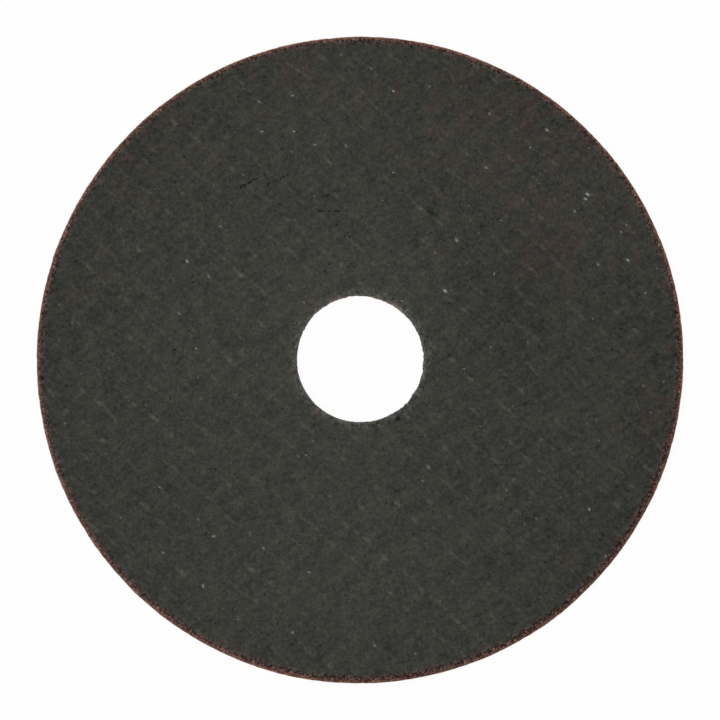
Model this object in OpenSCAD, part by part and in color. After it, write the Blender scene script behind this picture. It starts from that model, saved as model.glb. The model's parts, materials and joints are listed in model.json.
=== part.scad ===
// Flat cut off wheel: a thin pressed abrasive disc with a plain arbor bore.
// It lies flat on its lower face. The origin is on the bore's axis, at that face.

/* [Wheel] */
// Outside diameter of the wheel
wheel_d = 115; // [100:1:230]
// Thickness over the two flat faces
wheel_t = 1.6; // [1:0.1:3.2]

/* [Bore] */
// Diameter of the arbor bore
bore_d = 22.23; // [10:0.01:25.4]
// Width of the broken edge at each mouth of the bore
bore_edge = 0.15; // [0.05:0.05:0.3]

/* [Rim] */
// Width of the ring of bare abrasive between a flat face and the rim
land_w = 0.85; // [0.5:0.05:1.5]
// Depth of that ring below the flat face
land_drop = 0.1; // [0.02:0.01:0.12]
// Radius of the rim's two rounded corners
corner_r = 0.3; // [0.1:0.05:0.35]

/* [Hidden] */
$fn = 180;

rim_r = wheel_d / 2;
bore_r = bore_d / 2;
face_r = rim_r - land_w;
rim_t = wheel_t - 2 * land_drop;

// Strip of the section that stands at a radius from and to, centred on the thickness
module strip(from, to, thickness) {
    translate([from, (wheel_t - thickness) / 2])
        square([to - from, thickness]);
}

// The rim's corner circle, one below and one above mid-thickness
module rim_corners() {
    for (side = [-1, 1])
        translate([rim_r - corner_r, wheel_t / 2 + side * (rim_t / 2 - corner_r)])
            circle(r = corner_r);
}

// Square corners cut off at the two mouths of the bore
module bore_breaks() {
    for (z = [0, wheel_t])
        translate([bore_r, z])
            rotate(45)
                square(bore_edge * sqrt(2), center = true);
}

// Half of the section through the axis
module half_section() {
    difference() {
        union() {
            strip(bore_r, face_r, wheel_t);
            strip(bore_r, rim_r - corner_r, rim_t);
            strip(bore_r, rim_r, rim_t - 2 * corner_r);
            rim_corners();
        }
        bore_breaks();
    }
}

module wheel() {
    color("#3a3b36")
        rotate_extrude()
            half_section();
}

wheel();
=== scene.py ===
"""Looks of a flat cut off wheel that lies on a pale floor.

The wheel is one pressed piece. It is dressed as the brown abrasive that shows at its rim and in its bore,
the two dark facings that are pressed on it, and the pale ends of glass fibre that lie in those facings, some
with a painted glint.
"""

import json
import logging
import math
import random
from collections.abc import Callable, Mapping, Sequence
from dataclasses import dataclass
from enum import Enum
from functools import cached_property, partial, reduce

import bmesh
import bpy
from mathutils import Matrix, Vector, noise


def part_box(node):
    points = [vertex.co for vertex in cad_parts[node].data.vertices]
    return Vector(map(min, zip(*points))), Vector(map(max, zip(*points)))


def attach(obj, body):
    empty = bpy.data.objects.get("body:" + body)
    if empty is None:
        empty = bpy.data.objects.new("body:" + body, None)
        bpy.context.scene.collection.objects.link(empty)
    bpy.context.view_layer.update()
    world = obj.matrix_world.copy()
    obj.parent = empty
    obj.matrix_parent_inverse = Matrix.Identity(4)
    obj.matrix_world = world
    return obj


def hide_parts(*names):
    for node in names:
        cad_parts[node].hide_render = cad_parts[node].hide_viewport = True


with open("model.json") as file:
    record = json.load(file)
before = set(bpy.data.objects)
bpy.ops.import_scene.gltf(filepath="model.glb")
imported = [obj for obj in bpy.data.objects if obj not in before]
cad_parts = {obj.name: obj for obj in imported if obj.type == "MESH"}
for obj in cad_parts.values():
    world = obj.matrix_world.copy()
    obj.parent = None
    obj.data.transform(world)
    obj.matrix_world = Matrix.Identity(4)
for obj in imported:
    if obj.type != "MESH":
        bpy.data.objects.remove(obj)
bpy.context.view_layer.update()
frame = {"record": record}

LOG = logging.getLogger("cut_off_wheel")
NODE = "wheel"
BODY = "root"
MM = 0.001
PER_MM = 1000.0
FULL_TURN = 2.0 * math.pi
SLACK = 0.001 * MM  # distance within which two points are the same
FLECK_SHINE = "fleck_shine"

# Ranges that hold most of a noise around 0.5, and nearly all of it
CORE_SPAN = (0.3, 0.7)
WIDE_SPAN = (0.25, 0.75)

Point = tuple[float, float]
Span = tuple[float, float]
Layers = tuple[float, float, int]
Triple = tuple[float, float, float]
Colour = Triple
Socket = bpy.types.NodeSocket


class Side(Enum):
    """The two faces of the wheel."""

    UPPER = "upper"
    LOWER = "lower"


class Slot(Enum):
    """The record's material slots."""

    FACING = "facing"
    ABRASIVE = "abrasive"


def smooth_step(low: float, high: float, value: float) -> float:
    """Eases from 0 to 1 as a value goes from low to high."""
    share = min(max((value - low) / (high - low), 0.0), 1.0)
    return share * share * (3.0 - 2.0 * share)


def spaced(start: float, end: float, step: float) -> list[float]:
    """Lists even values from start to end, both among them, at most a step apart."""
    count = max(1, math.ceil(abs(end - start) / step))
    return [start + (end - start) * i / count for i in range(count + 1)]


def heading(turn_deg: float, rise_deg: float = 0.0) -> Vector:
    """Unit vector in a direction, anticlockwise from +X, that rises by an angle."""
    turn, rise = math.radians(turn_deg), math.radians(rise_deg)
    return Vector((math.cos(turn) * math.cos(rise), math.sin(turn) * math.cos(rise), math.sin(rise)))


def on_circle(angle: float, z: float = 0.0) -> Vector:
    """Point of the unit circle in a direction in radians, at a height."""
    return Vector((math.cos(angle), math.sin(angle), z))


@dataclass(frozen=True)
class WheelSizes:
    """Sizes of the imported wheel, in metres."""

    rim_r: float  # outside radius
    bore_r: float  # radius of the arbor bore
    low_z: float  # height of the lower face
    high_z: float  # height of the upper face

    @classmethod
    def from_frame(cls) -> "WheelSizes":
        """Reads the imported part.

        Returns:
            Its sizes.
        """
        low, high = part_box(NODE)
        bore = next(m for m in frame["record"]["mounts"] if m["kind"] == "bore")
        return cls(high.x, bore["dims"]["r_mm"] * MM, low.z, high.z)

    @property
    def mid_z(self) -> float:
        """Height of the middle of the wheel's thickness."""
        return (self.low_z + self.high_z) / 2.0


@dataclass(frozen=True)
class OffCircle:
    """How an edge differs from a circle about the wheel's axis."""

    shift: float  # how far its middle is off the axis
    shift_deg: float  # direction of that shift, anticlockwise from +X
    oval: float  # how much farther it reaches along the longer of its two axes
    oval_deg: float  # direction of that axis, anticlockwise from +X

    def at(self, angle: float) -> float:
        """How much farther out the edge is in a direction in radians."""
        off_axis = self.shift * math.cos(angle - math.radians(self.shift_deg))
        return off_axis + self.oval * math.cos(2.0 * (angle - math.radians(self.oval_deg)))

    def centre_mm(self) -> Point:
        """Middle of the edge, in millimetres."""
        return tuple(heading(self.shift_deg).xy * (self.shift * PER_MM))


@dataclass(frozen=True)
class BoreWear:
    """How far the bore is worn back, more in one direction than in the other."""

    form: OffCircle = OffCircle(0.235 * MM, 28.0, 0.14 * MM, 135.0)
    mean: float = 0.06 * MM  # mean wear
    nicks: float = 0.12 * MM  # depth of the fine nicks
    nick_lobes: float = 5.0  # fineness of those nicks around the bore
    nick_layers: Layers = (0.3, 2.5, 3)  # roughness, scale and number of their layers
    burr: float = 0.03 * MM  # how far a burr stands into the bore where it isn't worn

    def at(self, angle: float) -> float:
        """Wear in a direction in radians."""
        fine = noise.fractal(self.nick_lobes * on_circle(angle, 1.0), *self.nick_layers)
        return max(self.mean + self.form.at(angle) + self.nicks * fine, self.burr * (abs(fine) - 1.0))


@dataclass(frozen=True)
class FacingEdge:
    """Ragged outer and inner edges of a facing, which sits a little off the wheel's axis."""

    sizes: WheelSizes
    form: OffCircle = OffCircle(0.15 * MM, 102.0, 0.065 * MM, 22.0)
    wear: BoreWear = BoreWear()  # wear of the bore, which the facing follows
    gap: float = 0.82 * MM  # mean width of the bare abrasive between the facing and the rim
    ragged: float = 0.28 * MM  # depth of the teeth along the edge
    tooth_mm: Span = (0.8, 0.35)  # lengths of the coarse and the fine teeth
    fine_share: float = 0.6  # depth of the fine teeth beside that of the coarse ones
    wander: float = 0.12 * MM  # depth of the slow waves along the edge
    wander_mm: float = 4.0  # length of those waves
    bore_gap: float = 0.08 * MM  # width of the bare abrasive around the bore
    least_gap: float = 0.02 * MM  # its least width
    fray_mm: float = 0.7  # length over which that width varies
    fray: Span = (0.9, 0.8)  # its mean and its swing, as factors
    broken: Span = (0.7, 0.6)  # mean and swing of a chip's depth, as factors
    chip_floor: float = 0.3  # share of a chip's half width that has the full depth
    chips: tuple[tuple[float, float, float], ...] = (  # direction and half width in degrees, and depth
        (56.0, 13.0, 0.85 * MM), (74.0, 7.0, 0.30 * MM), (112.0, 12.0, 0.40 * MM), (134.0, 8.0, 0.25 * MM),
        (182.0, 12.0, 0.25 * MM), (202.0, 8.0, 0.30 * MM), (224.0, 7.0, 0.20 * MM), (342.0, 7.0, 0.25 * MM),
    )

    def mean_r_mm(self) -> float:
        """Mean radius of the outer edge about its own middle, in millimetres."""
        return (self.sizes.rim_r - self.gap) * PER_MM

    def worn_bore_mm(self) -> float:
        """Mean radius of the worn bore, in millimetres."""
        return (self.sizes.bore_r + self.wear.mean) * PER_MM

    def outer_r(self, angle: float) -> float:
        """Finds the outer edge.

        Args:
            angle: Direction from the axis, in radians.

        Returns:
            Its radius there, in metres.
        """
        coarse_mm, fine_mm = self.tooth_mm
        around = on_circle(angle) * (self.sizes.rim_r * PER_MM)
        fine = self.fine_share * noise.noise(around / fine_mm)
        teeth = self.ragged * (noise.noise(around / coarse_mm) + fine)
        waves = self.wander * noise.noise(around / self.wander_mm)
        return self.sizes.rim_r - self.gap + self.form.at(angle) + teeth + waves

    def inner_r(self, angle: float) -> float:
        """Finds the edge at the bore.

        Args:
            angle: Direction from the axis, in radians.

        Returns:
            Its radius there, in metres.
        """
        around = on_circle(angle, 1.0) * (self.sizes.bore_r * PER_MM)
        frayed = self.fray[0] + self.fray[1] * noise.noise(around / self.fray_mm)
        broken = self.broken[0] + self.broken[1] * noise.noise(around / self.tooth_mm[1])
        depth = self.wear.at(angle) + self.bore_gap * frayed
        for chip_deg, half_deg, chip_depth in self.chips:
            off = abs((math.degrees(angle) - chip_deg + 180.0) % 360.0 - 180.0)
            depth += chip_depth * broken * (1.0 - smooth_step(self.chip_floor, 1.0, off / half_deg))
        return self.sizes.bore_r + max(depth, self.least_gap)


@dataclass(frozen=True)
class ThreadRun:
    """One family of parallel threads that prints through a facing."""

    pitch_mm: float  # distance from thread to thread
    across_deg: float  # direction across the threads, anticlockwise from +X
    start: float = 0.0  # place of a thread, as a share of the pitch from the wheel's axis

    @cached_property
    def per_mm(self) -> Vector:
        """Vector whose dot product with a place in millimetres counts pitches."""
        return heading(self.across_deg) / self.pitch_mm

    def count_at(self, place_mm: Vector) -> float:
        """Pitches between the first thread and a place in millimetres."""
        return self.per_mm.dot(place_mm) - self.start


@dataclass(frozen=True)
class LenoMesh:
    """Glass mesh under a facing: flat weft bands that thin warp pairs cross and knot on.

    Widths and places are in pitches, and rises are shares of the print's full height.
    """

    weft: ThreadRun = ThreadRun(4.319, -39.5, 1.010)  # the wide flat threads
    warp: ThreadRun = ThreadRun(4.254, 49.05, 0.469)  # the thin twisted pairs
    sway: float = 0.049  # how far a warp pair swings to either side at each weft
    weft_half: float = 0.27  # half width of a weft band
    link_half: float = 0.10  # half width of a warp pair between two wefts
    knot_half: float = 0.14  # half width of a knot across the warp
    knot_reach: Span = (0.04, 0.34)  # half lengths of a knot's top and of its foot along the warp
    lump_at: float = -0.40  # place of a weft's own lump, from the warp
    lump_half: float = 0.28  # half length of that lump along the weft
    gap_at: float = 0.06  # place where a warp pair is lowest, from the weft
    gap_reach: Span = (0.10, 0.40)  # distances from there between which it rises again
    shade_line_at: float = 0.14  # distance from a warp pair to the painted shade line beside it
    shade_line_half: float = 0.07  # half width of that painted shade line
    band_rise: float = 0.25
    knot_rise: float = 0.7
    link_rise: float = 0.4
    lump_rise: float = 0.2

    def relief(self, place_mm: Vector) -> float:
        """Finds the height of the print.

        Args:
            place_mm: Place on the face, in millimetres.

        Returns:
            Share of the full height, from 0 between threads to about 1 on a knot.
        """
        weft, warp = self.weft.count_at(place_mm), self.warp.count_at(place_mm)
        swung = warp - self.sway * math.cos(math.pi * weft)
        off_weft, off_warp, off_lump = (abs(n - round(n)) for n in (weft, swung, warp - self.lump_at))
        band = 1.0 - smooth_step(0.0, self.weft_half, off_weft)
        near_weft = 1.0 - smooth_step(*self.knot_reach, off_weft)
        knot = near_weft * (1.0 - smooth_step(0.0, self.knot_half, off_warp))
        link = (1.0 - near_weft) * (1.0 - smooth_step(0.0, self.link_half, off_warp))
        lump = band * (1.0 - smooth_step(0.0, self.lump_half, off_lump))
        threads = self.band_rise * band + self.knot_rise * knot + self.link_rise * link
        return min(threads + self.lump_rise * lump, 1.0)


def piece_from(mesh: bmesh.types.BMesh, name: str, material: bpy.types.Material) -> bpy.types.Object:
    """Turns a bmesh into a linked, smooth shaded object and frees it.

    Args:
        mesh: Finished bmesh.
        name: Name of the object.
        material: Its only material.

    Returns:
        The new object.
    """
    data = bpy.data.meshes.new(name)
    mesh.to_mesh(data)
    mesh.free()
    data.polygons.foreach_set("use_smooth", [True] * len(data.polygons))
    data.materials.append(material)
    piece = bpy.data.objects.new(name, data)
    bpy.context.scene.collection.objects.link(piece)
    return piece


def declare(piece: bpy.types.Object) -> None:
    """Attaches a piece of the wheel to its body, hides the imported part and logs the piece.

    Args:
        piece: Piece to declare.
    """
    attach(piece, BODY)
    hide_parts(NODE)
    piece.data.calc_loop_triangles()
    LOG.info("%s: %d triangles", piece.name, len(piece.data.loop_triangles))


class TurnedMesh:
    """A ring-shaped mesh that is spun from a closed section and then worked on.

    Each vertex remembers the radius of the ring that it belongs to, so that cuts follow the circle.
    """

    def __init__(self, section: Sequence[Point], steps: int) -> None:
        """Spins a section about the wheel's axis.

        Args:
            section: Closed outline as radius and height, in order.
            steps: Number of steps in the full turn.
        """
        self.mesh = bmesh.new()
        verts = [self.mesh.verts.new((r, 0.0, z)) for r, z in section]
        edges = [self.mesh.edges.new(pair) for pair in zip(verts, verts[1:] + verts[:1])]
        bmesh.ops.spin(self.mesh, geom=verts + edges, cent=(0, 0, 0), axis=(0, 0, 1),
                       angle=FULL_TURN, steps=steps, use_merge=True)
        bmesh.ops.remove_doubles(self.mesh, verts=self.mesh.verts, dist=SLACK)
        bmesh.ops.recalc_face_normals(self.mesh, faces=self.mesh.faces)
        self.ring = self.mesh.verts.layers.float.new("ring_radius")
        for vert in self.mesh.verts:
            vert[self.ring] = vert.co.xy.length

    def refine(self, from_r: float, cuts: int) -> None:
        """Cuts the rings outside a radius into shorter chords and puts them back on their circles.

        Args:
            from_r: Radius of the first ring that is cut.
            cuts: Cuts in each chord.
        """
        chords = [
            edge for edge in self.mesh.edges
            if min(v[self.ring] for v in edge.verts) > from_r - SLACK
            and abs(edge.verts[0][self.ring] - edge.verts[1][self.ring]) < SLACK
            and abs(edge.verts[0].co.z - edge.verts[1].co.z) < SLACK
        ]
        bmesh.ops.subdivide_edges(self.mesh, edges=chords, cuts=cuts)
        for vert in self.mesh.verts:
            vert.co.xy = vert.co.xy.normalized() * vert[self.ring]

    def shape(self, move: Callable[[Vector, Vector], Vector]) -> None:
        """Moves every vertex.

        Args:
            move: Takes a vertex's place and normal and gives its new place.
        """
        self.mesh.normal_update()
        places = [move(vert.co.copy(), vert.normal.copy()) for vert in self.mesh.verts]
        for vert, place in zip(self.mesh.verts, places):
            vert.co = place

    def to_piece(self, name: str, material: bpy.types.Material,
                 mirror_z: float | None = None) -> bpy.types.Object:
        """Makes a copy of the mesh an object of the scene.

        Args:
            name: Name of the piece.
            material: Finish of the whole piece.
            mirror_z: Height of the level plane that it is mirrored at, if any.

        Returns:
            The new object, smooth shaded.
        """
        mesh = self.mesh.copy()
        if mirror_z is not None:
            flip = Matrix.Translation((0, 0, 2.0 * mirror_z)) @ Matrix.Diagonal((1.0, 1.0, -1.0, 1.0))
            bmesh.ops.transform(mesh, matrix=flip, verts=mesh.verts)
        bmesh.ops.recalc_face_normals(mesh, faces=mesh.faces)
        return piece_from(mesh, name, material)


@dataclass(frozen=True)
class NodeGraph:
    """Nodes of a material or of the world."""

    owner: bpy.types.ID  # the material or the world

    @cached_property
    def tree(self) -> bpy.types.NodeTree:
        """The owner's node tree, empty at first."""
        self.owner.use_nodes = True
        self.owner.node_tree.nodes.clear()
        return self.owner.node_tree

    def add(self, kind: str, inputs: Mapping[str | int, object] | None = None,
            **settings: object) -> bpy.types.Node:
        """Adds a node.

        Args:
            kind: Blender's name of its type, without ShaderNode.
            inputs: Sockets or plain values for its inputs, by name or by number.
            settings: Its other properties.

        Returns:
            The new node.
        """
        node = self.tree.nodes.new("ShaderNode" + kind)
        for name, value in settings.items():
            setattr(node, name, value)
        for name, value in (inputs or {}).items():
            if isinstance(value, Socket):
                self.tree.links.new(value, node.inputs[name])
            else:
                node.inputs[name].default_value = value
        return node

    def maths(self, operation: str, *values: object) -> Socket:
        """Result of an operation of the Math node on sockets and numbers."""
        return self.add("Math", dict(enumerate(values)), operation=operation).outputs["Value"]

    def total(self, *values: object) -> Socket:
        """Sum of sockets and numbers."""
        return reduce(partial(self.maths, "ADD"), values)

    def product(self, *values: object) -> Socket:
        """Product of sockets and numbers."""
        return reduce(partial(self.maths, "MULTIPLY"), values)

    def seen_directly(self) -> Socket:
        """Tells the rays that see the background from the light that falls on things.

        Returns:
            1 for a ray of the camera, of a reflection or through glass, and 0 for any other.
        """
        rays = self.add("LightPath").outputs
        seen = self.maths("MAXIMUM", rays["Is Camera Ray"], rays["Is Glossy Ray"])
        return self.maths("MAXIMUM", seen, rays["Is Transmission Ray"])


@dataclass(frozen=True)
class SurfaceFinish(NodeGraph):
    """A material with one Principled shader, whose nodes take places in millimetres."""

    @cached_property
    def place(self) -> Socket:
        """Place on the piece, in millimetres."""
        return self.mapped(self.add("TexCoord").outputs["Object"], scale=(PER_MM,) * 3)

    def mapped(self, vector: Socket, shift: Sequence[float] = (0, 0, 0), turn_deg: float = 0.0,
               scale: Sequence[float] = (1, 1, 1)) -> Socket:
        """Shifts a place so that a point comes to the origin, turns it about Z and scales it.

        Args:
            vector: Place to map.
            shift: Point that becomes the origin.
            turn_deg: Direction that becomes +X, anticlockwise from +X.
            scale: Scale along the turned axes.

        Returns:
            The mapped place.
        """
        if turn_deg == 0.0:
            back = [-s * c for s, c in zip(shift, scale)]
            return self.add("Mapping", {"Vector": vector, "Location": back, "Scale": scale}).outputs["Vector"]
        turn = math.radians(-turn_deg)
        back = -(Matrix.Rotation(turn, 3, "Z") @ Vector(shift))
        turned = self.add("Mapping", {"Vector": vector, "Location": back, "Rotation": (0.0, 0.0, turn)})
        return self.add("Mapping", {"Vector": turned.outputs["Vector"], "Scale": scale}).outputs["Vector"]

    def dot(self, vector: Socket, direction: Sequence[float]) -> Socket:
        """Dot product of a place and a fixed direction."""
        return self.add("VectorMath", {0: vector, 1: direction}, operation="DOT_PRODUCT").outputs["Value"]

    def from_axis(self, centre_mm: Point = (0.0, 0.0)) -> Socket:
        """Distance in millimetres from an upright axis through a point of the face."""
        flat = self.mapped(self.place, (*centre_mm, 0.0), scale=(1.0, 1.0, 0.0))
        return self.add("VectorMath", {0: flat}, operation="LENGTH").outputs["Value"]

    def eased(self, value: object, low: float, high: float, start: float = 0.0, end: float = 1.0) -> Socket:
        """Eases from start to end as a value goes from low to high, which has to be the greater."""
        inputs = {"Value": value, "From Min": low, "From Max": high, "To Min": start, "To Max": end}
        return self.add("MapRange", inputs, interpolation_type="SMOOTHSTEP").outputs["Result"]

    def clouds(self, size_mm: float, vector: Socket | None = None, detail: float = 2.0,
               roughness: float = 0.5, distortion: float = 0.0) -> Socket:
        """Fractal noise around 0.5 with blobs of a size, at a place or at the piece's own."""
        inputs = {"Vector": vector or self.place, "Scale": 1.0 / size_mm, "Detail": detail,
                  "Roughness": roughness, "Distortion": distortion}
        return self.add("TexNoise", inputs).outputs[0]

    def cells(self, size_mm: float, feature: str = "F1") -> Mapping[str, Socket]:
        """Outputs of a Voronoi node with cells of a size, which measures a feature of them."""
        return self.add("TexVoronoi", {"Vector": self.place, "Scale": 1.0 / size_mm}, feature=feature).outputs

    def blend(self, share: object, first: Socket | Colour, second: Socket | Colour) -> Socket:
        """Mix of two colours by the share of the second."""
        first, second = (c if isinstance(c, Socket) else (*c, 1.0) for c in (first, second))
        return self.add("Mix", {0: share, 6: first, 7: second}, data_type="RGBA").outputs[2]

    def scaled_colour(self, colour: Socket, by: Socket) -> Socket:
        """Makes a colour lighter or darker by a factor."""
        return self.add("VectorMath", {0: colour, "Scale": by}, operation="SCALE").outputs["Vector"]

    def ramp(self, share: Socket, stops: Sequence[tuple[float, Colour]]) -> Socket:
        """Adds a colour ramp.

        Args:
            share: Place on the ramp.
            stops: Places and colours, from low to high.

        Returns:
            The colour.
        """
        node = self.add("ValToRGB", {"Fac": share})
        points = node.color_ramp.elements
        while len(points) < len(stops):
            points.new(1.0)
        for point, (place, colour) in zip(points, stops):
            point.position = place
            point.color = (*colour, 1.0)
        return node.outputs["Color"]

    def shade(self, colour: Socket, roughness: Socket, specular: float = 0.5,
              height_mm: Socket | None = None) -> None:
        """Ends the graph in its shader.

        Args:
            colour: Base colour.
            roughness: Roughness.
            specular: Specular level.
            height_mm: Height of the bump in millimetres, if there is one.
        """
        inputs = {"Base Color": colour, "Roughness": roughness, "Specular IOR Level": specular}
        if height_mm is not None:
            bump = self.add("Bump", {"Distance": MM, "Strength": 1.0, "Height": height_mm})
            inputs["Normal"] = bump.outputs["Normal"]
        shader = self.add("BsdfPrincipled", inputs)
        self.add("OutputMaterial", {"Surface": shader.outputs["BSDF"]})


@dataclass(frozen=True)
class WheelFinish(SurfaceFinish):
    """A finish of the wheel that changes beside the edges of the facing."""

    edge: FacingEdge
    pit_mm: float = 0.5  # width of the pits along that edge

    def ring(self, radius_mm: float, span_mm: Span, start: float = 0.0, end: float = 1.0,
             centre_mm: Point = (0.0, 0.0)) -> Socket:
        """Eases from start to end over a span of distances outwards from a circle."""
        low, high = (radius_mm + away for away in span_mm)
        return self.eased(self.from_axis(centre_mm), low, high, start, end)

    def by_edge(self, span_mm: Span, start: float = 0.0, end: float = 1.0) -> Socket:
        """Eases from start to end over a span of distances outwards from the facing's edge."""
        return self.ring(self.edge.mean_r_mm(), span_mm, start, end, self.edge.form.centre_mm())

    def pitted(self) -> Socket:
        """Noise that is high in the small pits along that edge."""
        return self.clouds(self.pit_mm, detail=2.0, roughness=0.65)


@dataclass(frozen=True)
class Patch:
    """A soft round area of the face."""

    x_mm: float
    y_mm: float
    radius_mm: float  # distance at which it has faded out
    strength: float  # its effect at the middle


@dataclass(frozen=True)
class Scratch:
    """A short dark score in the upper face."""

    x_mm: float  # place of its middle
    y_mm: float
    turn_deg: float  # its direction, anticlockwise from +X
    length_mm: float
    width_mm: float = 0.56
    depth: float = 27.0  # darkening at the middle, in display levels


@dataclass(frozen=True)
class FacingFinish(WheelFinish):
    """Dark matt facing with the print of the glass mesh, reddish stains, scores and fine grain.

    Tones are in display levels, of which 255 is white, as offsets from the ground colour. Rings are spans of
    distances in millimetres, outwards from the worn bore or from the facing's outer edge.
    """

    ground: Colour = (0.0370, 0.0385, 0.0315)  # plain facing
    rust: Colour = (0.0444, 0.0345, 0.0303)  # stains where abrasive shows through
    frayed: Colour = (0.0392, 0.0375, 0.0337)  # frayed ring around the bore
    worn: Colour = (0.0510, 0.0370, 0.0305)  # thin outer edge
    per_level: float = 0.0345  # share of the ground colour that one display level stands for
    darkest: float = 0.1  # least share of the colour that is left
    roughness: Span = (0.72, 0.88)  # of the grain's hollows and of its tops
    specular: float = 0.12
    grain_mm: float = 0.62  # width of the coarsest grain
    grain_depth_mm: float = 0.05  # depth of its bump
    grain_tone: float = 74.0  # swing of its tone
    cloud_mm: float = 2.6  # width of the broader unevenness and of the stains
    cloud_tone: float = 15.0  # swing of that unevenness
    fibre_mm: float = 0.55  # width of the short pale fibres before they are stretched
    fibre_stretch: Triple = (0.42, 1.3, 1.0)  # scale of the noise along and across them
    fibre_span: Span = (0.62, 0.78)  # noise at which they start and are full
    fibre_runs: tuple[Span, ...] = ((-41.0, 7.0), (50.0, 5.0))  # their directions in degrees, and tones
    knot_tone: float = 8.6  # the mesh's knots
    link_tone: float = 4.4  # a warp pair between two knots
    band_tone: float = 1.6  # a weft band
    lump_tone: float = 2.3  # the lumps on it
    shade_line_tone: float = -0.7  # painted shade beside a raised warp pair
    plain_tone: float = -1.6  # between the threads
    patchy_mm: float = 2.0  # length over which the threads come and go
    patchy: Span = (0.0, 2.0)  # their factors where they are weakest and strongest
    grainy: Span = (0.2, 1.8)  # the same in the grain's hollows and on its tops
    fade_mm: float = 9.0  # length over which the whole print comes and goes
    fade: Span = (0.55, 1.45)  # its factors where it is weakest and strongest
    mesh: LenoMesh = LenoMesh()  # the glass mesh nearest to the face
    deep_runs: tuple[tuple[ThreadRun, float], ...] = (  # the threads of the deeper mesh, with their tones
        (ThreadRun(4.226, 17.2, 0.25), 0.95),
        (ThreadRun(4.119, -72.6, 0.42), 0.75),
    )
    ribs: tuple[ThreadRun, float] = (ThreadRun(1.613, -58.7, 0.25), 1.3)  # of the facing's own sheet
    speck_cell_mm: float = 0.8  # cells of which some hold a speck
    speck_core: float = 0.2  # share of a speck's radius that has the full tone
    specks: tuple[tuple[str, float, float, float], ...] = (  # channel that picks, share, radius, tone
        ("Red", 0.045, 0.32, -20.0),
        ("Green", 0.05, 0.30, 16.0),
    )
    bore_lip: Span = (0.05, 0.7)  # palest ring around the bore
    bore_tint: Span = (0.05, 1.6)  # ring that has the frayed colour
    bore_fray: Span = (0.05, 2.0)  # ring with coarse grain
    bore_lip_tone: float = 24.0
    bore_tone: float = 16.0
    bore_grain: float = 2.2  # swing of the grain there, beside that of the face
    rim_shade: Span = (-10.0, -1.5)  # slightly darker outer zone, about the wheel's axis
    rim_shade_tone: float = -1.1
    rim_tint: Span = (-1.2, -0.05)  # ring where the brown of the outer edge shows
    rim_tint_share: float = 0.85
    rim_fray: Span = (-0.9, -0.15)  # ring of pale bits and black pits
    rim_tone: float = 3.5
    rim_grain: float = 1.3  # swing of the grain there, beside that of the face
    pit_span: Span = (0.59, 0.63)  # noise at which the pits start and are full
    # black painted into the pits along the outer edge: painted shade
    pit_shade_tone: float = -26.0
    stain_lift: float = 0.22  # how much a stained area raises the noise of the stains
    stain_span: Span = (0.575, 0.88)  # noise at which the stains start and are full
    stains: tuple[Patch, ...] = (  # areas where reddish stains are frequent, or rare
        Patch(37, 37, 40, 1.0), Patch(46, 8, 20, 0.3), Patch(14, 46, 18, 0.6), Patch(-13, 52, 18, 0.9),
        Patch(-36, 38, 21, 0.85), Patch(-51, 16, 14, 0.5), Patch(55, -10, 16, 1.0), Patch(40, -37, 13, 0.45),
        Patch(-4.8, 11.2, 2.4, 1.1), Patch(-8.6, 9.9, 3, 1.0), Patch(6.2, 10, 2.6, 1.3),
        Patch(-12, -0.8, 3, 1.0), Patch(-7.6, -9.3, 2.4, 0.8), Patch(1, 47, 5, 0.9), Patch(6, 48.5, 4, 0.7),
        Patch(0, 37, 4, 0.9), Patch(30, 18, 7, 0.9), Patch(36, 20, 6, 0.6), Patch(30, 43, 5, 0.7),
        Patch(12, 24, 4, 0.5), Patch(42, 30, 7, -0.6), Patch(15, 42, 8, -0.4), Patch(-33, 36, 7, -0.5),
    )
    shades: tuple[Patch, ...] = (  # broad lighter and darker areas
        Patch(1, 6, 26, 4.1), Patch(-13, 3, 46, 3.5), Patch(-4, -37, 30, 3.3), Patch(-8, 43, 16, 2.2),
        Patch(-30, -42, 18, 1.0), Patch(8, -30, 14, 1.0), Patch(20, 27, 13, -1.1), Patch(29, 8, 20, -4.0),
        Patch(55, 4, 22, -3.2), Patch(56, -16, 16, -2.6), Patch(46, -37, 24, -3.1), Patch(-55, 12, 17, -2.6),
        Patch(-42, 38, 15, -2.2), Patch(26, 52, 16, -1.6), Patch(36.5, 6, 6, 4.5),
    )
    score_mm: Span = (1.2, 0.55)  # lengths over which a score wobbles and breaks up
    score_full: Span = (0.55, 0.15)  # shares of its half length and half width that are full
    score_wobble: float = 1.4  # swing of its wobble, in half widths
    score_breaks: Span = (0.42, 0.58)  # noise at which its gaps end and it is full
    score_left: Span = (0.25, 1.15)  # its factors at these two
    scratches: tuple[Scratch, ...] = (
        Scratch(-18.4, 32.1, 28, 5.6, 0.56, 29), Scratch(-20.8, 30.75, 26, 1.6, 0.95, 62),
        Scratch(-14.5, 32, 26, 5.9), Scratch(-4.6, 29.8, 32, 3.9), Scratch(-4.8, 26.4, 1.5, 7.0),
        Scratch(-1.5, 16.9, 35, 1.8, 0.6, 22), Scratch(-5.2, 17, 35, 2.2, 0.5, 18),
        Scratch(6.8, -10.3, -60, 1.9, 1.0, 42), Scratch(7.2, -12.9, -40, 0.9, 0.6, 30),
        Scratch(29.5, -7.9, 20, 1.3, 0.6, 26), Scratch(22, 23.6, 0, 1.5, 0.7, 24),
        Scratch(12.6, 39, 30, 1.6, 0.7, 22), Scratch(20.2, 43.1, 20, 1.6, 0.7, 20),
        Scratch(12.6, 26.1, -15, 1.6, 0.7, 22), Scratch(6, 32.8, 10, 1.2, 0.6, 26),
    )

    @cached_property
    def grain(self) -> Socket:
        """Noise of the fine grain."""
        return self.clouds(self.grain_mm, detail=2.0, roughness=0.85, distortion=0.4)

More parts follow.
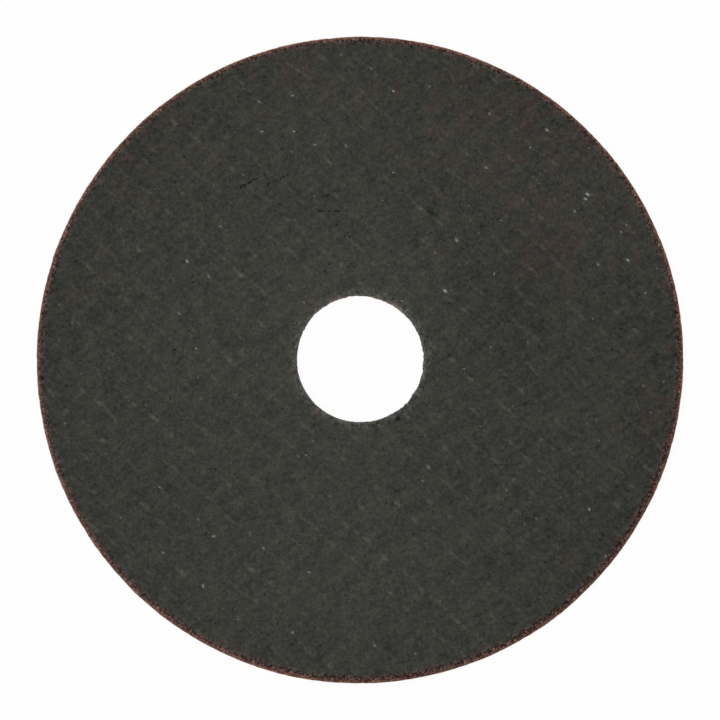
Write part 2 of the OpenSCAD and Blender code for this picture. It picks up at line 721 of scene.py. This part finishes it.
    def build(self) -> None:
        """Adds the nodes."""
        upper = self.eased(self.dot(self.place, (0, 0, 1)), 0.0, self.edge.sizes.high_z * PER_MM)
        levels = self.total(
            self.swing(self.grain, self.grain_tone),
            self.swing(self.clouds(self.cloud_mm, detail=1.0), self.cloud_tone),
            self.fibres(),
            self.prints(),
            self.patches(self.shades),
            self.ring(self.edge.mean_r_mm(), self.rim_shade, 0.0, self.rim_shade_tone),
            self.speckles(),
            self.frayed_bore(),
            self.frayed_rim(),
            *[self.product(self.score(mark), upper) for mark in self.scratches],
        )
        factor = self.maths("MAXIMUM", self.maths("MULTIPLY_ADD", levels, self.per_level, 1.0), self.darkest)
        tint = self.blend(self.by_bore(self.bore_tint), self.ground, self.frayed)
        tint = self.blend(self.stained(), tint, self.rust)
        tint = self.blend(self.by_edge(self.rim_tint, 0.0, self.rim_tint_share), tint, self.worn)
        rough = self.eased(self.grain, *CORE_SPAN, *self.roughness)
        bump = self.product(self.grain, self.grain_depth_mm)
        self.shade(self.scaled_colour(tint, factor), rough, self.specular, bump)

    def swing(self, clouds: Socket, tone: float) -> Socket:
        """Tone that swings to both sides with a noise around 0.5."""
        return self.maths("MULTIPLY_ADD", clouds, tone, -tone / 2.0)

    def fibres(self) -> Socket:
        """Adds the short pale fibres, most of which lie along the warp.

        Returns:
            Their tone.
        """
        tones = []
        for turn_deg, tone in self.fibre_runs:
            along = self.mapped(self.place, turn_deg=turn_deg, scale=self.fibre_stretch)
            streaks = self.clouds(self.fibre_mm, along, detail=1.0)
            tones.append(self.eased(streaks, *self.fibre_span, 0.0, tone))
        return self.total(*tones)

    def prints(self) -> Socket:
        """Adds both glass meshes and the ribs where they print through, broken up by the grain.

        Returns:
            Their tone.
        """
        mesh = self.mesh
        weft, warp = self.counted(mesh.weft), self.counted(mesh.warp)
        sway = self.maths("COSINE", self.product(weft, math.pi))
        off_weft = self.off_thread(weft)
        off_warp = self.off_thread(self.maths("MULTIPLY_ADD", sway, -mesh.sway, warp))
        off_lump = self.off_thread(self.maths("SUBTRACT", warp, mesh.lump_at))
        off_gap = self.off_thread(self.maths("SUBTRACT", weft, mesh.gap_at))
        off_shade_line = self.maths("ABSOLUTE", self.maths("SUBTRACT", off_warp, mesh.shade_line_at))
        band = self.eased(off_weft, 0.0, mesh.weft_half, 1.0, 0.0)
        near_weft = self.eased(off_weft, *mesh.knot_reach, 1.0, 0.0)
        past_gap = self.eased(off_gap, *mesh.gap_reach)
        knots = self.product(near_weft, self.eased(off_warp, 0.0, mesh.knot_half, self.knot_tone, 0.0))
        links = self.product(past_gap, self.eased(off_warp, 0.0, mesh.link_half, self.link_tone, 0.0))
        lumps = self.product(band, self.eased(off_lump, 0.0, mesh.lump_half, self.lump_tone, 0.0))
        # painted shade lines along both sides of the raised warp pairs
        shade_lines = self.eased(off_shade_line, 0.0, mesh.shade_line_half, self.shade_line_tone, 0.0)
        patchy = self.eased(self.clouds(self.patchy_mm), *WIDE_SPAN, *self.patchy)
        uneven = self.product(patchy, self.eased(self.grain, *CORE_SPAN, *self.grainy))
        threads = self.product(self.total(knots, links, lumps), uneven)
        waves = [self.wave(run, tone) for run, tone in (*self.deep_runs, self.ribs)]
        plain = self.maths("MULTIPLY_ADD", band, self.band_tone, self.plain_tone)
        levels = self.total(plain, threads, shade_lines, *waves)
        return self.product(levels, self.eased(self.clouds(self.fade_mm), *CORE_SPAN, *self.fade))

    def counted(self, run: ThreadRun) -> Socket:
        """Pitches from the first thread of a run."""
        return self.maths("SUBTRACT", self.dot(self.place, run.per_mm), run.start)

    def off_thread(self, count: Socket) -> Socket:
        """Distance to the nearest thread, in pitches."""
        return self.maths("ABSOLUTE", self.maths("SUBTRACT", count, self.maths("ROUND", count)))

    def wave(self, run: ThreadRun, tone: float) -> Socket:
        """Soft wave with its crests on the threads of a run."""
        return self.product(self.maths("COSINE", self.product(self.counted(run), FULL_TURN)), tone)

    def speckles(self) -> Socket:
        """Adds the small round specks.

        Returns:
            Their tone.
        """
        cells = self.cells(self.speck_cell_mm)
        chance = self.add("SeparateColor", {"Color": cells["Color"]}).outputs
        tones = []
        for channel, share, radius_mm, tone in self.specks:
            reach = radius_mm / self.speck_cell_mm
            spot = self.eased(cells["Distance"], self.speck_core * reach, reach, tone, 0.0)
            tones.append(self.product(self.maths("LESS_THAN", chance[channel], share), spot))
        return self.total(*tones)

    def by_bore(self, span_mm: Span) -> Socket:
        """Share of a ring around the worn bore, which fades outwards."""
        return self.ring(self.edge.worn_bore_mm(), span_mm, 1.0, 0.0, self.edge.wear.form.centre_mm())

    def frayed_bore(self) -> Socket:
        """Adds the paler, speckled ring where the facing is frayed around the bore.

        Returns:
            Its tone.
        """
        bits = self.total(self.swing(self.grain, self.bore_grain * self.grain_tone), self.bore_tone)
        wide = self.product(self.by_bore(self.bore_fray), bits)
        return self.maths("MULTIPLY_ADD", self.by_bore(self.bore_lip), self.bore_lip_tone, wide)

    def frayed_rim(self) -> Socket:
        """Adds the pale bits along the outer edge of the facing, and paints its pits black as painted shade.

        Returns:
            Their tone.
        """
        bits = self.total(self.swing(self.grain, self.rim_grain * self.grain_tone), self.rim_tone)
        # painted shade: black in the small pits along the edge
        painted_pits = self.eased(self.pitted(), *self.pit_span, 0.0, self.pit_shade_tone)
        return self.product(self.by_edge(self.rim_fray), self.total(bits, painted_pits))

    def patches(self, areas: Sequence[Patch]) -> Socket:
        """Sum of soft areas, each of which eases from its strength to nothing."""
        return self.total(*[
            self.eased(self.from_axis((area.x_mm, area.y_mm)), 0.0, area.radius_mm, area.strength, 0.0)
            for area in areas
        ])

    def stained(self) -> Socket:
        """Adds soft blotches that are frequent in the stained areas and rare elsewhere.

        Returns:
            Share of the stains' colour.
        """
        blotches = self.clouds(self.cloud_mm, detail=2.0, roughness=0.6)
        raised = self.maths("MULTIPLY_ADD", self.patches(self.stains), self.stain_lift, blotches)
        return self.eased(raised, *self.stain_span)

    def score(self, mark: Scratch) -> Socket:
        """Adds a broken dark score that tapers to its ends.

        Args:
            mark: Score to add.

        Returns:
            Its tone.
        """
        wobble_mm, break_mm = self.score_mm
        full_length, full_width = self.score_full
        along = self.mapped(self.place, (mark.x_mm, mark.y_mm, 0.0), mark.turn_deg,
                            (2.0 / mark.length_mm, 2.0 / mark.width_mm, 0.0))
        off_middle = self.maths("ABSOLUTE", self.dot(along, (1, 0, 0)))
        ends = self.eased(off_middle, full_length, 1.0, 1.0, 0.0)
        wobble = self.swing(self.clouds(wobble_mm), self.score_wobble)
        across = self.maths("ABSOLUTE", self.total(self.dot(along, (0, 1, 0)), wobble))
        line = self.eased(across, full_width, 1.0, -mark.depth, 0.0)
        gaps = self.clouds(break_mm, detail=1.0, roughness=0.6)
        broken = self.eased(gaps, *self.score_breaks, *self.score_left)
        return self.product(line, ends, broken)


@dataclass(frozen=True)
class AbrasiveFinish(WheelFinish):
    """Brown abrasive: packed grains of many browns with dark gaps, and pits beside the facing painted black
    as shade.

    Rings are spans of distances in millimetres, outwards from the rim, the bore or the facing's edge.
    """

    browns: tuple[tuple[float, Colour], ...] = (  # colours of the grains, from the darkest to the palest
        (0.00, (0.034, 0.018, 0.014)),
        (0.30, (0.098, 0.052, 0.041)),
        (0.75, (0.162, 0.086, 0.066)),
        (1.00, (0.230, 0.140, 0.112)),
    )
    skin: Colour = (0.215, 0.104, 0.076)  # smooth resin skin near the rim's outer edge
    lip: Colour = (0.400, 0.170, 0.108)  # that edge itself, its own orange partly lightened as a painted highlight on the rounded corner
    pale: Colour = (0.125, 0.097, 0.090)  # grains that show at the bore
    gap: Colour = (0.010, 0.005, 0.004)  # near black between the grains, and painted shade in the pits
    roughness: Span = (0.55, 0.85)  # from grain to grain
    specular: float = 0.1
    grain_mm: float = 0.36  # width of a grain
    gap_width: float = 0.14  # width of the gaps, in grains
    gap_depth_mm: float = 0.03  # depth of their bump
    gap_left: float = 0.2  # share of the grains' colour that is left in them
    mottle_mm: float = 0.9  # width of the mottle
    mottle: Span = (0.65, 1.35)  # its darkest and its lightest factor
    skin_ring: Span = (-0.5, -0.15)  # from the rim
    lip_ring: Span = (-0.2, -0.04)  # from the rim
    pale_ring: Span = (1.5, 3.0)  # from the bore
    skin_share: float = 0.75
    lip_share: float = 0.8
    pale_share: float = 0.92
    worn_way: Triple = (0.7, -0.7, 0.0)  # towards the more worn side of the rim
    clean_span: Span = (5.0, 68.0)  # distances that way over which the rim darkens
    clean: Span = (1.27, 0.93)  # factors at their ends
    pit_span: Span = (0.54, 0.58)  # noise at which the pits start and are full
    pit_ring: Span = (-0.1, 0.65)  # ring from the facing's edge over which they become rare
    pit_lift: Span = (0.03, -0.09)  # change of the noise at its two ends
    worn_span: Span = (-40.0, 57.0)  # distances towards the worn side over which pits become frequent
    worn_lift: Span = (-0.025, 0.04)  # change of the noise at its two ends
    pitted_ring: Span = (-3.0, -1.0)  # ring from the facing's edge over which the pits set in

    def build(self) -> None:
        """Adds the nodes."""
        rim_mm, bore_mm = self.edge.sizes.rim_r * PER_MM, self.edge.sizes.bore_r * PER_MM
        chance = self.add("SeparateColor", {"Color": self.cells(self.grain_mm)["Color"]}).outputs
        colour = self.ramp(chance["Red"], self.browns)
        colour = self.blend(self.ring(rim_mm, self.skin_ring, 0.0, self.skin_share), colour, self.skin)
        # the rim's outer edge, paler in part as a painted highlight
        colour = self.blend(self.ring(rim_mm, self.lip_ring, 0.0, self.lip_share), colour, self.lip)
        at_bore = self.ring(bore_mm, self.pale_ring, self.pale_share, 0.0)
        colour = self.blend(at_bore, colour, self.pale)
        gaps = self.cells(self.grain_mm, "DISTANCE_TO_EDGE")["Distance"]
        tight = self.maths("MAXIMUM", self.eased(gaps, 0.0, self.gap_width), at_bore)
        grains = self.maths("MULTIPLY_ADD", tight, 1.0 - self.gap_left, self.gap_left)
        colour = self.blend(grains, self.gap, colour)
        # paints the pits along the facing's edge near black, as painted shade
        colour = self.blend(self.painted_pits(), colour, self.gap)
        mottle = self.eased(self.clouds(self.mottle_mm, detail=3.0, roughness=0.7), *WIDE_SPAN, *self.mottle)
        clean = self.eased(self.dot(self.place, self.worn_way), *self.clean_span, *self.clean)
        colour = self.scaled_colour(colour, self.product(mottle, clean))
        rough = self.eased(chance["Green"], 0.0, 1.0, *self.roughness)
        self.shade(colour, rough, self.specular, self.product(tight, self.gap_depth_mm))

    def painted_pits(self) -> Socket:
        """Adds the painted shade of the pits, which lie along the edge of the facing.

        Returns:
            Share of their colour.
        """
        inner = self.by_edge(self.pit_ring, *self.pit_lift)
        more = self.eased(self.dot(self.place, self.worn_way), *self.worn_span, *self.worn_lift)
        raised = self.total(self.pitted(), inner, more)
        return self.product(self.eased(raised, *self.pit_span), self.by_edge(self.pitted_ring))


@dataclass(frozen=True)
class FleckFinish(SurfaceFinish):
    """Pale glass fibre ends, the brighter ones with a painted glint."""

    dull: Colour = (0.068, 0.069, 0.061)  # a dull end
    bright: Colour = (0.27, 0.28, 0.258)  # a bright end, pale glass with a painted glint
    streak_mm: float = 0.25  # width of the streaks in it
    streaks: Span = (0.75, 1.25)  # their darkest and their lightest factor
    roughness: Span = (0.4, 0.65)  # from streak to streak

    def build(self) -> None:
        """Adds the nodes, which read how bright each fleck is."""
        shine = self.add("Attribute", attribute_name=FLECK_SHINE).outputs["Fac"]
        streaks = self.clouds(self.streak_mm, detail=1.0)
        factor = self.eased(streaks, *WIDE_SPAN, *self.streaks)
        colour = self.scaled_colour(self.blend(shine, self.dull, self.bright), factor)
        self.shade(colour, self.eased(streaks, *CORE_SPAN, *self.roughness))


@dataclass(frozen=True)
class FloorFinish(NodeGraph):
    """Pale paint that is almost white to the camera."""

    tone: float = 0.9  # brightness of the paint
    white_share: float = 0.95  # share of plain white in what the camera sees

    def build(self) -> None:
        """Adds the nodes."""
        paint = self.add("BsdfDiffuse", {"Color": (self.tone, self.tone, self.tone, 1.0)}).outputs["BSDF"]
        white = self.add("Emission").outputs["Emission"]
        share = self.product(self.seen_directly(), self.white_share)
        mix = self.add("MixShader", {"Fac": share, 1: paint, 2: white})
        self.add("OutputMaterial", {"Surface": mix.outputs["Shader"]})


@dataclass(frozen=True)
class Surroundings(NodeGraph):
    """Soft fill light from all around that looks white."""

    fill: float = 0.38  # its light, as a softbox's share

    def build(self) -> None:
        """Adds the nodes."""
        strength = self.add("MapRange", {"Value": self.seen_directly(), "To Min": self.fill, "To Max": 1.0})
        light = {"Color": (1.0, 1.0, 1.0, 1.0), "Strength": strength.outputs["Result"]}
        self.add("OutputWorld", {"Surface": self.add("Background", light).outputs["Background"]})


@dataclass
class AbrasiveBody:
    """The pressed abrasive that shows at the rim and in the bore."""

    sizes: WheelSizes
    finish: bpy.types.Material
    wear: BoreWear  # how far the bore's wall is worn back
    drop: float = 0.1 * MM  # depth of its bare land below the faces
    corner_r: float = 0.3 * MM  # radius of the rim's rounded corners
    corner_parts: int = 4  # chords in such a corner
    bore_break: float = 0.15 * MM  # width of the broken edge at the bore
    rim_land: float = 1.7 * MM  # width of the finely divided land at the rim
    bore_land: float = 1.1 * MM  # width of the one at the bore
    ring_step: float = 0.12 * MM  # spacing of the rings
    steps: int = 480  # chords in a ring at the bore
    rim_cuts: int = 3  # cuts in each chord at the rim
    grain: float = 0.36 * MM  # width of a grain
    gap: float = 0.35  # width of the gaps between grains, in grains
    relief: float = 0.06 * MM  # depth of those gaps
    hollow: float = 1.2  # depth of the broader hollows, beside that of the gaps
    hollow_size: float = 2.5  # their width, in grains
    hollow_from: float = 0.1  # noise at which they start
    tear: float = 0.5  # how unevenly the bore is worn
    tear_size: float = 1.8  # length over which that varies, in grains
    rim_wander: float = 0.07 * MM  # depth of the waves and nicks around the rim
    rim_wave: float = 25.0 * MM  # length of the longest of them
    rim_layers: Layers = (0.14, 4.5, 3)  # roughness, scale and number of their layers
    rim_upright: float = 0.4  # how fast they vary across the thickness, beside how fast around
    rim_inset: float = 0.2  # share of their depth by which the rim's mean lies farther in

    def upper_half(self) -> list[Point]:
        """Lays out the section above mid thickness.

        Returns:
            Its points, from the bore's wall to the rim's wall.
        """
        bore_r, rim_r, round_r, step = self.sizes.bore_r, self.sizes.rim_r, self.corner_r, self.ring_step
        top, mid_clear = self.sizes.high_z - self.drop, self.sizes.mid_z + step / 2.0
        bore_wall = [(bore_r, z) for z in spaced(mid_clear, top - self.bore_break, step)]
        lands = [(r, top) for r in spaced(bore_r + self.bore_break, bore_r + self.bore_land, step)]
        corner_x, corner_z = rim_r - round_r, top - round_r
        lands += [(r, top) for r in spaced(rim_r - self.rim_land, corner_x, step)[:-1]]
        turns = spaced(math.pi / 2.0, 0.0, math.pi / 2.0 / self.corner_parts)
        corner = [(corner_x + round_r * math.cos(t), corner_z + round_r * math.sin(t)) for t in turns]
        rim_wall = [(rim_r, z) for z in spaced(corner_z, mid_clear, step)[1:]]
        return bore_wall + lands + corner + rim_wall

    def section(self) -> list[Point]:
        """Closed section of the body."""
        upper = self.upper_half()
        return upper + [(r, 2.0 * self.sizes.mid_z - z) for r, z in reversed(upper)]

    def roughen(self, place: Vector, normal: Vector) -> Vector:
        """Sinks the gaps between grains below the surface and wears the bore and the rim.

        Args:
            place: Place of a vertex.
            normal: Its normal.

        Returns:
            Its new place.
        """
        near, second = noise.voronoi(place / self.grain)[0][:2]
        gap = 1.0 - smooth_step(0.0, self.gap, second - near)
        hollow = max(0.0, noise.noise(place / (self.hollow_size * self.grain)) - self.hollow_from)
        moved = place - normal * self.relief * (gap + self.hollow * hollow)
        at_bore = 1.0 - smooth_step(0.0, self.bore_land, place.xy.length - self.sizes.bore_r)
        if at_bore > 0.0:
            torn = 1.0 + self.tear * noise.noise(place / (self.tear_size * self.grain))
            moved.xy += place.xy.normalized() * torn * self.wear.at(math.atan2(place.y, place.x)) * at_bore
        at_rim = smooth_step(self.sizes.rim_r - self.rim_land / 2.0, self.sizes.rim_r, place.xy.length)
        if at_rim > 0.0:
            around = Vector((place.x, place.y, self.rim_upright * place.z)) / self.rim_wave
            nicks = noise.fractal(around, *self.rim_layers) - self.rim_inset
            moved.xy += place.xy.normalized() * self.rim_wander * nicks * at_rim
        return moved

    def build(self) -> None:
        turned = TurnedMesh(self.section(), self.steps)
        turned.refine(self.sizes.rim_r - self.rim_land, self.rim_cuts)
        turned.shape(self.roughen)
        declare(turned.to_piece("abrasive_body", self.finish))


@dataclass
class Facings:
    """The two dark facings pressed on the abrasive."""

    sizes: WheelSizes
    edge: FacingEdge  # their ragged edges
    mesh: LenoMesh  # glass mesh that prints through them
    finish: bpy.types.Material
    depth: float = 0.22 * MM  # how deep a facing reaches into the wheel, past the abrasive's land
    rounding: float = 0.06 * MM  # radius over which its edges fall away
    blend_width: float = 1.1 * MM  # width over which the ragged edges even out
    print_height: float = 0.035 * MM  # height of the mesh's print
    grain_height: float = 0.012 * MM  # height of the fine unevenness
    grain_mm: float = 0.9  # width of that unevenness
    ring_step: float = 0.46 * MM  # spacing of the rings
    edge_step: float = 0.16 * MM  # spacing of the rings at the edges
    steps: int = 480  # chords in a ring at the bore
    faces_up: float = 0.5  # least height of a normal on the printed face

    @property
    def outer_r(self) -> float:
        """Radius of the outer edge before it is made ragged."""
        return self.sizes.rim_r - self.edge.gap

    def section(self) -> list[Point]:
        """Lays out the closed section of the upper facing.

        Returns:
            Its points, in order.
        """
        top, floor, ease = self.sizes.high_z, self.sizes.high_z - self.depth, self.rounding
        inner, outer = self.sizes.bore_r, self.outer_r
        fine_in, fine_out = inner + self.blend_width, outer - self.blend_width
        rings = spaced(inner + ease, fine_in, self.edge_step)
        rings += spaced(fine_in, fine_out, self.ring_step)[1:]
        rings += spaced(fine_out, outer - ease, self.edge_step)[1:]
        walls_in = [(inner, floor), (inner, top - ease)]
        walls_out = [(outer, top - ease), (outer, floor)]
        return walls_in + [(r, top) for r in rings] + walls_out + [(fine_out, floor), (fine_in, floor)]

    def ragged(self, place: Vector, normal: Vector) -> Vector:
        """Makes the edges ragged and lifts the print of the mesh.

        Args:
            place: Place of a vertex of the upper facing.
            normal: Its normal.

        Returns:
            Its new place.
        """
        inner, outer, wide = self.sizes.bore_r, self.outer_r, self.blend_width
        radius, angle = place.xy.length, math.atan2(place.y, place.x)
        if radius > outer - wide:
            radius += smooth_step(outer - wide, outer, radius) * (self.edge.outer_r(angle) - outer)
        elif radius < inner + wide:
            share = 1.0 - smooth_step(inner, inner + wide, radius)
            radius += share * (self.edge.inner_r(angle) - inner)
        worn = Vector((radius * math.cos(angle), radius * math.sin(angle), place.z))
        if normal.z > self.faces_up:
            worn.z -= self.sunk_at(worn.x, worn.y)
        return worn

    def sunk_at(self, x: float, y: float) -> float:
        """Finds how deep the printed face is below the wheel's full height.

        Args:
            x: Place along X.
            y: Place along Y.

        Returns:
            The depth, in metres.
        """
        flat_mm = Vector((x, y, 0.0)) * PER_MM
        print_depth = self.print_height * (1.0 - self.mesh.relief(flat_mm))
        return print_depth + self.grain_height * (1.0 - noise.noise(flat_mm / self.grain_mm))

    def build(self) -> None:
        turned = TurnedMesh(self.section(), self.steps)
        turned.refine((self.sizes.bore_r + self.outer_r) / 2.0, 1)
        turned.refine(self.outer_r - self.blend_width, 1)
        turned.shape(self.ragged)
        for side, mirror_z in ((Side.UPPER, None), (Side.LOWER, self.sizes.mid_z)):
            declare(turned.to_piece(f"{side.value}_facing", self.finish, mirror_z))


@dataclass
class GlassFlecks:
    """Short ends of glass fibre that lie in the facings."""

    sizes: WheelSizes
    facings: Facings  # the facings that they lie in
    finish: bpy.types.Material
    count: int = 76  # flecks drawn for each face
    seed: int = 7  # seed of the draws
    clear: float = 1.6 * MM  # distance that they keep from the rim and the bore
    lie_deg: float = -42.0  # direction in which most lie, anticlockwise from +X
    spread_deg: float = 25.0  # spread of their directions
    least: float = 0.46 * MM  # length of the shortest
    longer: float = 0.46 * MM  # how much longer the longest is
    shine: float = 0.16  # how bright the brightest drawn one is, painted glint included
    slim: float = 0.6  # width beside the length
    half_t: float = 0.03 * MM  # half thickness
    sunk: float = 0.008 * MM  # depth of a fleck's middle below the face around it
    seen: tuple[tuple[float, float, float, float], ...] = (  # those that stand out: x, y, length, shine
        (40.6, 29.2, 1.10, 0.92), (40.2, 28.4, 1.02, 0.72), (38.3, 26.2, 0.75, 0.40),
        (33.4, 40.7, 1.00, 0.62), (30.4, 37.6, 0.65, 0.34), (22.6, 34.0, 0.80, 0.55),
        (47.7, 17.5, 0.98, 0.62), (47.4, 23.7, 0.64, 0.25), (46.5, 22.5, 0.90, 0.12),
        (42.4, 16.7, 0.94, 0.28), (50.8, 11.6, 0.60, 0.38), (17.3, 21.1, 0.92, 0.66),
        (15.3, 12.1, 1.08, 1.00), (24.0, 15.1, 0.72, 0.40), (6.1, 47.7, 0.80, 0.58),
        (6.1, 33.2, 0.70, 0.38), (12.5, 48.5, 0.68, 0.22), (23.2, 43.6, 0.85, 0.28),
        (2.2, 51.7, 0.80, 0.21), (-11.9, 47.0, 0.78, 0.48), (-17.8, 45.9, 0.68, 0.39),
        (-11.6, 40.6, 0.62, 0.85), (-17.3, 40.6, 0.90, 0.34), (-2.3, 38.0, 0.98, 0.10),
        (-7.9, 38.2, 1.05, 0.13), (-30.6, 17.5, 1.04, 0.62), (-26.7, 14.7, 0.74, 0.28),
        (-29.0, 2.0, 0.62, 0.56), (-32.0, 8.2, 1.08, 0.07), (-24.7, 23.7, 1.12, 0.07),
        (-25.8, -31.4, 0.84, 0.46), (-28.6, -28.4, 0.62, 0.15), (-17.0, -33.5, 0.76, 0.45),
        (-34.8, -34.3, 0.90, 0.24), (-27.7, -40.2, 1.02, 0.52), (-19.4, -30.7, 0.50, 0.14),
        (-8.9, -37.8, 0.82, 0.24), (-11.8, -48.5, 0.76, 0.54), (-21.5, -46.2, 0.60, 0.16),
        (-42.4, -28.1, 0.66, 0.11), (-35.4, -22.7, 0.70, 0.23), (-52.3, -11.3, 0.54, 0.40),
        (12.3, -19.2, 1.30, 0.12), (40.8, -26.7, 0.80, 0.76), (43.7, -35.0, 0.76, 0.32),
        (51.7, -9.5, 0.58, 0.18), (2.8, -50.8, 0.88, 0.42), (37.4, -16.1, 0.46, 0.18),
        (4.7, 11.6, 0.55, 0.30), (7.7, 10.3, 0.60, 0.40), (-9.8, 10.1, 0.55, 0.30),
    )

    def build(self) -> None:
        mesh = bmesh.new()
        mesh.verts.layers.float.new(FLECK_SHINE)
        draw = random.Random(self.seed)
        inner, outer = self.sizes.bore_r + self.clear, self.sizes.rim_r - self.clear
        for side in Side:
            for _ in range(self.count):
                radius = math.sqrt(draw.uniform(inner**2, outer**2))
                angle = draw.uniform(0.0, FULL_TURN)
                size = self.least + self.longer * draw.random() ** 2
                turn_deg = draw.gauss(self.lie_deg, self.spread_deg)
                shine = self.shine * draw.random() ** 3
                place = (radius * math.cos(angle), radius * math.sin(angle))
                self.add_fleck(mesh, side, place, size, turn_deg, shine)
        for x_mm, y_mm, size_mm, shine in self.seen:
            turn_deg = draw.gauss(self.lie_deg, self.spread_deg)
            self.add_fleck(mesh, Side.UPPER, (x_mm * MM, y_mm * MM), size_mm * MM, turn_deg, shine)
        bmesh.ops.recalc_face_normals(mesh, faces=mesh.faces)
        declare(piece_from(mesh, "glass_flecks", self.finish))

    def add_fleck(self, mesh: bmesh.types.BMesh, side: Side, place: Point, size: float, turn_deg: float,
                  shine: float) -> None:
        """Lays one fleck in a face.

        Args:
            mesh: Mesh to add it to.
            side: Face that it lies in.
            place: Its place along X and Y.
            size: Its length.
            turn_deg: Its direction, anticlockwise from +X.
            shine: How bright it is, from 0 to 1.
        """
        sunk = max(self.facings.sunk_at(*place) + self.sunk, self.half_t)
        level = self.sizes.high_z - sunk if side is Side.UPPER else self.sizes.low_z + sunk
        lie = Matrix.Translation((*place, level)) @ Matrix.Rotation(math.radians(turn_deg), 4, "Z")
        form = lie @ Matrix.Diagonal((size / 2.0, self.slim * size / 2.0, self.half_t, 1.0))
        made = bmesh.ops.create_icosphere(mesh, subdivisions=1, radius=1.0, matrix=form)
        layer = mesh.verts.layers.float[FLECK_SHINE]
        for vert in made["verts"]:
            vert[layer] = shine


@dataclass(frozen=True)
class Softbox:
    """A square studio lamp that faces the wheel."""

    name: str
    turn_deg: float  # direction from the wheel, anticlockwise from +X
    rise_deg: float  # angle above the floor
    away: float  # distance from the wheel
    width: float  # side of the square
    share: float  # light that it gives to the face, where 1 shows a colour as it is written

    def build(self) -> None:
        """Makes the lamp."""
        lamp = bpy.data.lights.new(self.name, "AREA")
        lamp.shape = "SQUARE"
        lamp.size = self.width
        lamp.energy = self.share * math.pi**2 * self.away**2 / math.sin(math.radians(self.rise_deg))
        out = heading(self.turn_deg, self.rise_deg)
        piece = bpy.data.objects.new(self.name, lamp)
        piece.location = out * self.away
        piece.rotation_euler = out.to_track_quat("Z", "Y").to_euler()
        piece.visible_camera = False
        bpy.context.scene.collection.objects.link(piece)


@dataclass
class Studio:
    """Pale floor, soft light and the camera."""

    sizes: WheelSizes
    lamps: tuple[Softbox, ...] = (
        Softbox("key_softbox", 215.0, 55.0, 0.90, 0.60, 0.36),
        Softbox("fill_softbox", 70.0, 55.0, 0.90, 0.60, 0.26),
    )
    floor_side: float = 4.0  # side of the square floor
    camera_away: float = 1.5  # distance of the camera
    sight: float = 20.0  # how far it sees
    tilt_deg: float = 3.9  # lean of the view from straight down
    lean_deg: float = -45.0  # direction of that lean, anticlockwise from +X
    half_outline_px: float = 323.80  # half of the wheel's longest diameter in the image
    aim_px: Point = (359.4, 359.5)  # where the wheel's middle appears in the image
    image_px: int = 720  # side of the square image
    sensor_mm: float = 36.0  # width of the camera's sensor

    def build(self) -> None:
        """Sets up everything around the wheel."""
        bpy.context.scene.view_settings.view_transform = "Standard"
        self.build_floor()
        bpy.context.scene.world = bpy.data.worlds.new("surroundings")
        Surroundings(bpy.context.scene.world).build()
        for lamp in self.lamps:
            lamp.build()
        self.build_camera()

    def build_floor(self) -> None:
        """Makes the floor that the wheel lies on."""
        mesh = bmesh.new()
        level = Matrix.Translation((0, 0, self.sizes.low_z))
        bmesh.ops.create_grid(mesh, x_segments=1, y_segments=1, size=self.floor_side / 2.0, matrix=level)
        finish = FloorFinish(bpy.data.materials.new("studio_floor"))
        finish.build()
        floor = piece_from(mesh, "floor", finish.owner)
        LOG.info("floor: %.1f m square", self.floor_side)

    def build_camera(self) -> None:
        """Makes the camera, which looks down on the wheel with +Y upwards in the image."""
        lens = bpy.data.cameras.new("camera")
        focal_px = self.half_outline_px * self.camera_away / self.sizes.rim_r
        lens.sensor_width = self.sensor_mm
        lens.lens = focal_px * self.sensor_mm / self.image_px
        lens.clip_end = self.sight
        back = heading(self.lean_deg, 90.0 - self.tilt_deg)
        right = Vector((0.0, 1.0, 0.0)).cross(back).normalized()
        up = back.cross(right)
        per_px = self.camera_away / focal_px
        off_right = (self.image_px / 2.0 - self.aim_px[0]) * per_px
        off_up = (self.aim_px[1] - self.image_px / 2.0) * per_px
        target = Vector((0.0, 0.0, self.sizes.mid_z)) + right * off_right + up * off_up
        turned = Matrix((right, up, back)).transposed().to_4x4()
        camera = bpy.data.objects.new("camera", lens)
        camera.matrix_world = Matrix.Translation(target + back * self.camera_away) @ turned
        bpy.context.scene.collection.objects.link(camera)
        bpy.context.scene.camera = camera


def main() -> None:
    """Builds the studio and the pieces of the wheel in order."""
    logging.basicConfig(level=logging.INFO, format="%(name)s: %(message)s")
    sizes = WheelSizes.from_frame()
    Studio(sizes).build()
    edge = FacingEdge(sizes)
    dark = FacingFinish(bpy.data.materials.new("facing"), edge)
    brown = AbrasiveFinish(bpy.data.materials.new("abrasive"), edge)
    pale = FleckFinish(bpy.data.materials.new("glass_fleck"))
    for finish in (dark, brown, pale):
        finish.build()
    AbrasiveBody(sizes, brown.owner, edge.wear).build()
    facings = Facings(sizes, edge, dark.mesh, dark.owner)
    facings.build()
    GlassFlecks(sizes, facings, pale.owner).build()


if __name__ == "__main__":
    main()
